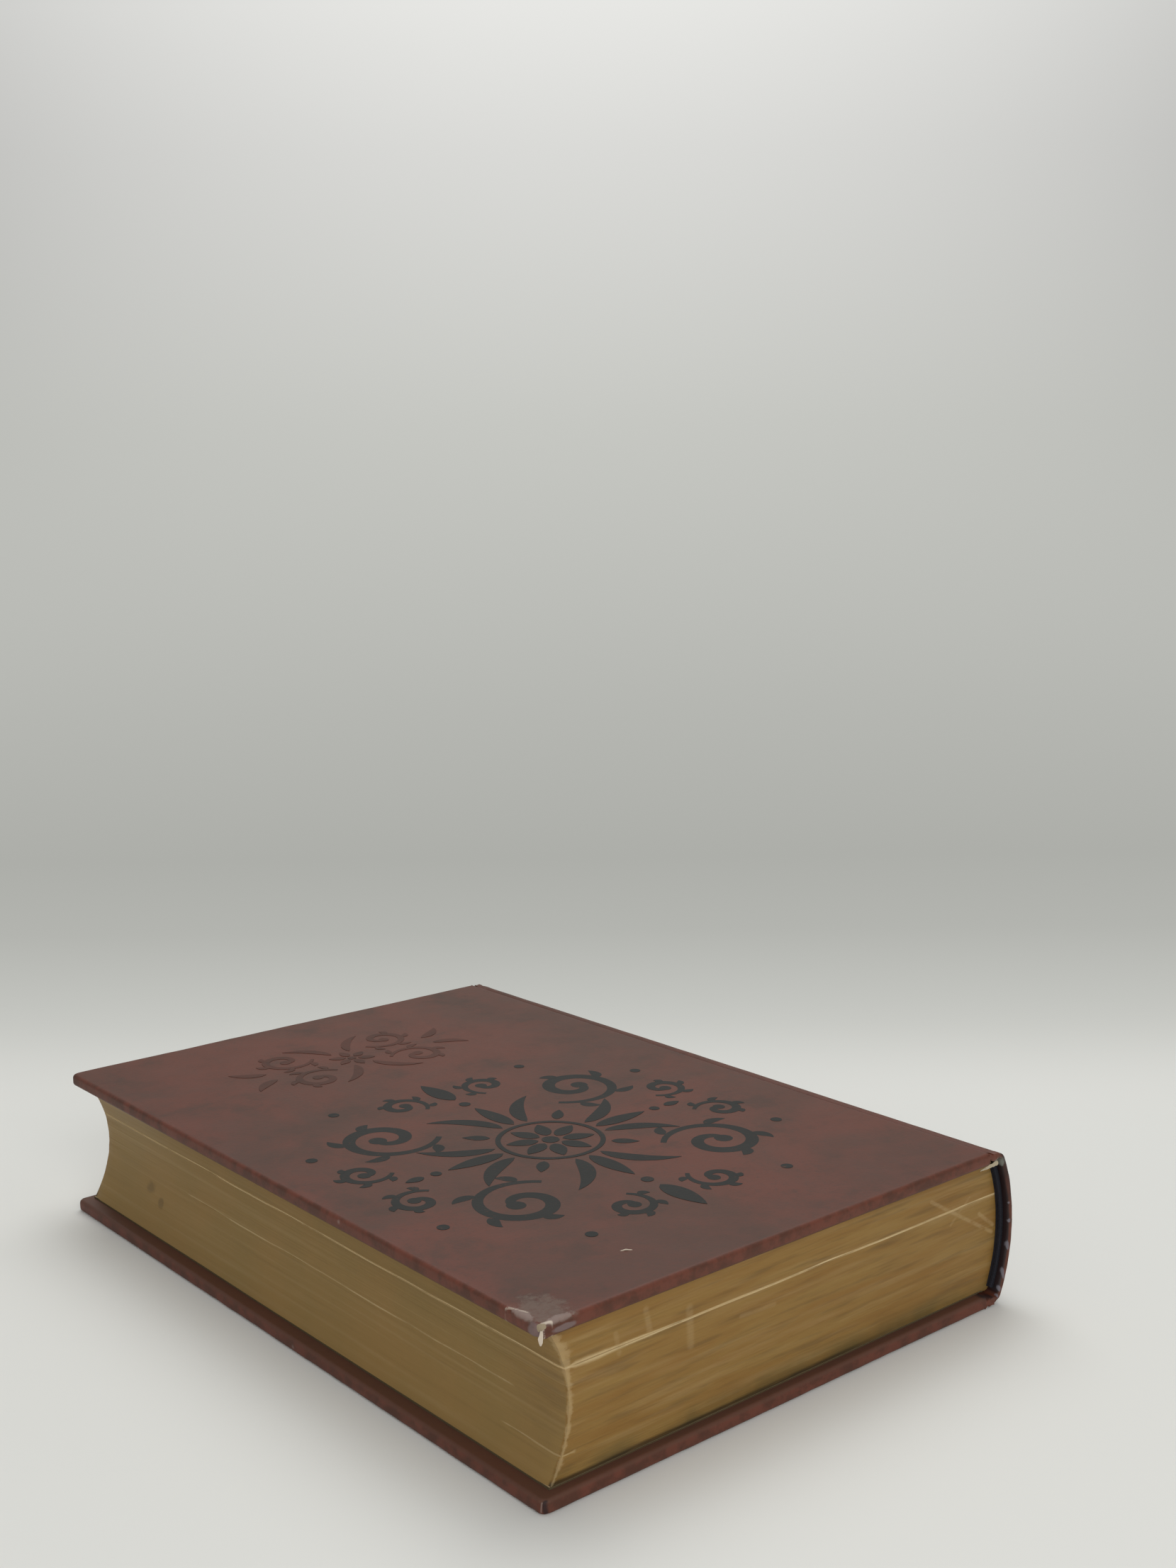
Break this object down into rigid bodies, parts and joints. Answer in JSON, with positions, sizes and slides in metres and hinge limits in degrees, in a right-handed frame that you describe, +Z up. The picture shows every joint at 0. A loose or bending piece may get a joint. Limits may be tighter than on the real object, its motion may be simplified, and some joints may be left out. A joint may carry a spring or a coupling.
{
  "type": "antique leather book",
  "caption": "Thick leather-covered hardback lying shut: rounded spine, gilt hollow fore edge, dark tailband, covers that open.",
  "frame": {"origin": "under the centre of the closed book's box, on the surface that the back cover lies on", "axes": "+X from the fore edge to the spine, +Y from the tail to the head, +Z up through the front cover"},
  "size_m": [0.1714, 0.24, 0.0459],
  "materials": {
    "gilt_pages": "gilded page edges, worn and streaked",
    "endpaper": "plain aged cream paper",
    "mull_cloth": "open-weave starched cotton",
    "lining_paper": "brown lining paper",
    "band_cloth": "black woven band",
    "book_board": "grey-brown pulp board",
    "cover_leather": "mottled red-brown leather, satin, scuffed at the corners"
  },
  "bodies": {
    "book_block": {"text_block": "gilt_pages", "front_flyleaf": "endpaper", "back_flyleaf": "endpaper", "mull": "mull_cloth", "back_lining": "lining_paper", "headband": "band_cloth", "tailband": "band_cloth", "spine_stiffener": "book_board", "spine_leather": "cover_leather"},
    "front_cover": {"front_board": "book_board", "front_cover_leather": "cover_leather", "front_mull_flange": "mull_cloth", "front_pastedown": "endpaper"},
    "back_cover": {"back_board": "book_board", "back_cover_leather": "cover_leather", "back_mull_flange": "mull_cloth", "back_pastedown": "endpaper"}
  },
  "joints": [
    {"name": "front_cover_hinge", "type": "hinge", "parent": "book_block", "child": "front_cover", "pos_m": [0.07683, 0, 0.04592], "axis": [0, 1, 0], "range_deg": [0, 178]},
    {"name": "back_cover_hinge", "type": "hinge", "parent": "book_block", "child": "back_cover", "pos_m": [0.07683, 0, 0], "axis": [0, -1, 0], "range_deg": [0, 178]}
  ]
}
